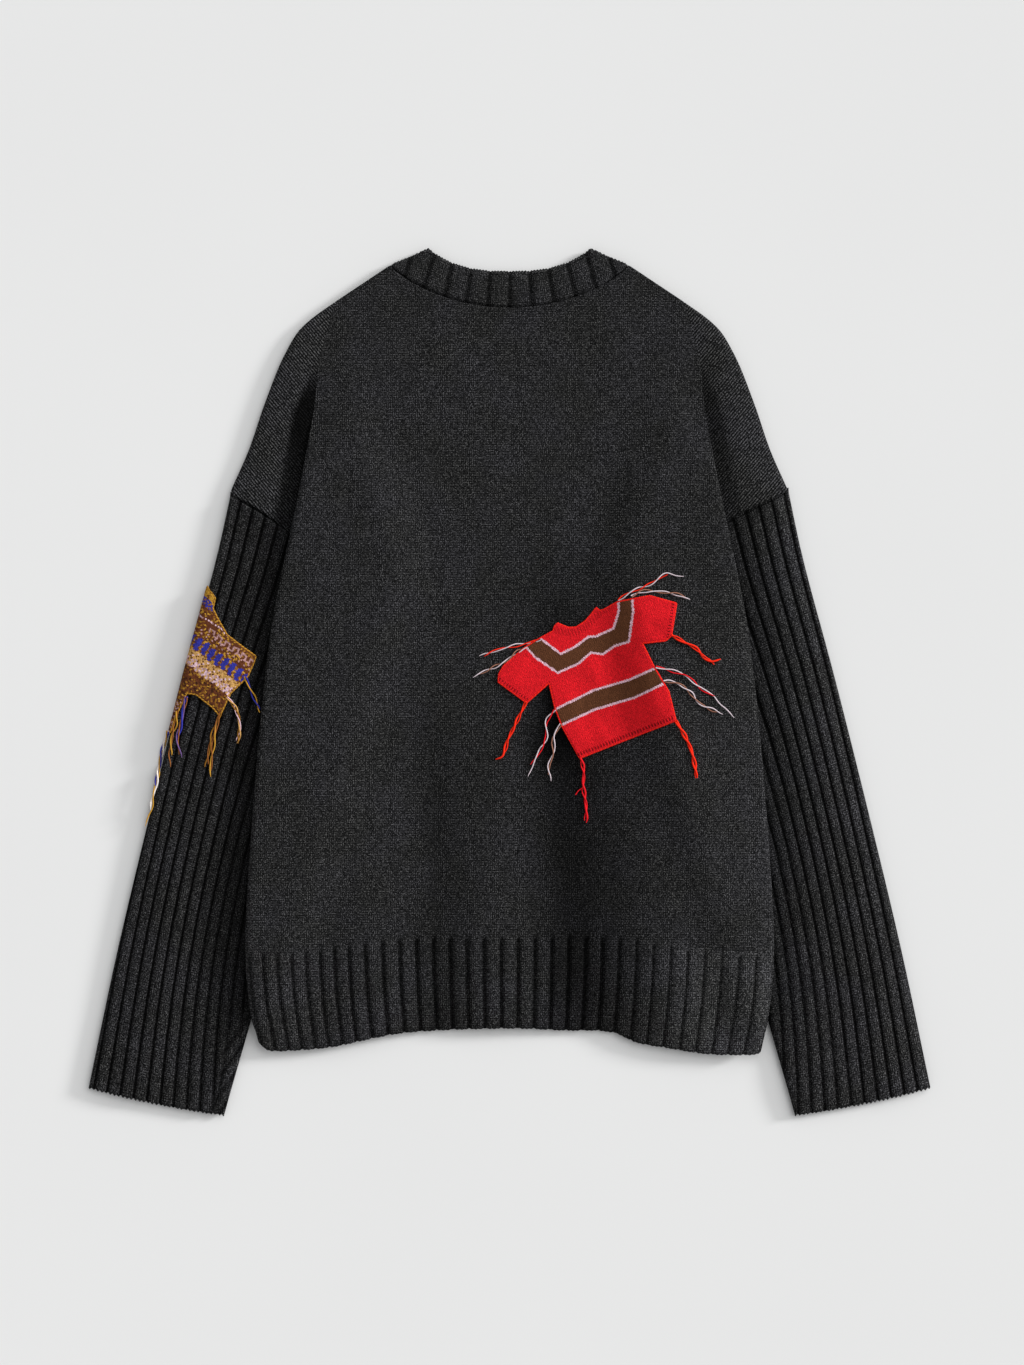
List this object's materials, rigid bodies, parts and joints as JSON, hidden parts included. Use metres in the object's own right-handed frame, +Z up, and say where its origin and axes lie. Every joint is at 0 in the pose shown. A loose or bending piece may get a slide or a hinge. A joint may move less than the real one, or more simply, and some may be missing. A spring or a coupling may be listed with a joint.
{
  "type": "knitted wool sweater with sewn-on darning patches, laid flat",
  "caption": "Charcoal wool crew-neck sweater laid flat, back up, with ribbed sleeves, hem and collar and miniature knitted jumpers sewn on as darns with loose yarn ends.",
  "frame": {"origin": "on the floor, in the middle of the garment's length and width", "axes": "+X to the wearer's right, +Y from the hem to the neck, +Z up from the floor through the front and then the back"},
  "size_m": [0.709, 0.7284, 0.0189],
  "materials": {
    "charcoal_knit": "felted melange wool in plain knit, matt and slightly hairy, with pale flecks",
    "charcoal_rib": "the same wool in wide rib, matt, with deep narrow grooves",
    "red_knit": "fine hand knit in red with brown bands edged in pale pink, matt",
    "fair_isle_knit": "stranded colour knit in ochre, brown, blue and pink, matt",
    "red_yarn": "two loose twisted strands of fine yarn",
    "mixed_yarn": "two loose twisted strands of fine yarn in ochre, blue or peach"
  },
  "bodies": {
    "root": {"back_panel": "charcoal_knit", "front_panel": "charcoal_knit", "hem_band_back": "charcoal_rib", "hem_band_front": "charcoal_rib", "sleeve_left": "charcoal_rib", "sleeve_right": "charcoal_rib", "collar": "charcoal_rib", "red_patch": "red_knit", "sleeve_patch": "fair_isle_knit", "red_tail_1": "red_yarn", "red_tail_2": "red_yarn", "red_tail_3": "red_yarn", "red_tail_4": "red_yarn", "red_tail_5": "red_yarn", "red_tail_6": "red_yarn", "red_tail_7": "red_yarn", "red_tail_8": "red_yarn", "red_tail_9": "red_yarn", "red_tail_10": "red_yarn", "red_tail_11": "red_yarn", "red_tail_12": "red_yarn", "sleeve_tail_1": "mixed_yarn", "sleeve_tail_2": "mixed_yarn", "sleeve_tail_3": "mixed_yarn", "sleeve_tail_4": "mixed_yarn", "sleeve_tail_5": "mixed_yarn", "sleeve_tail_6": "mixed_yarn", "sleeve_tail_7": "mixed_yarn"}
  },
  "joints": []
}
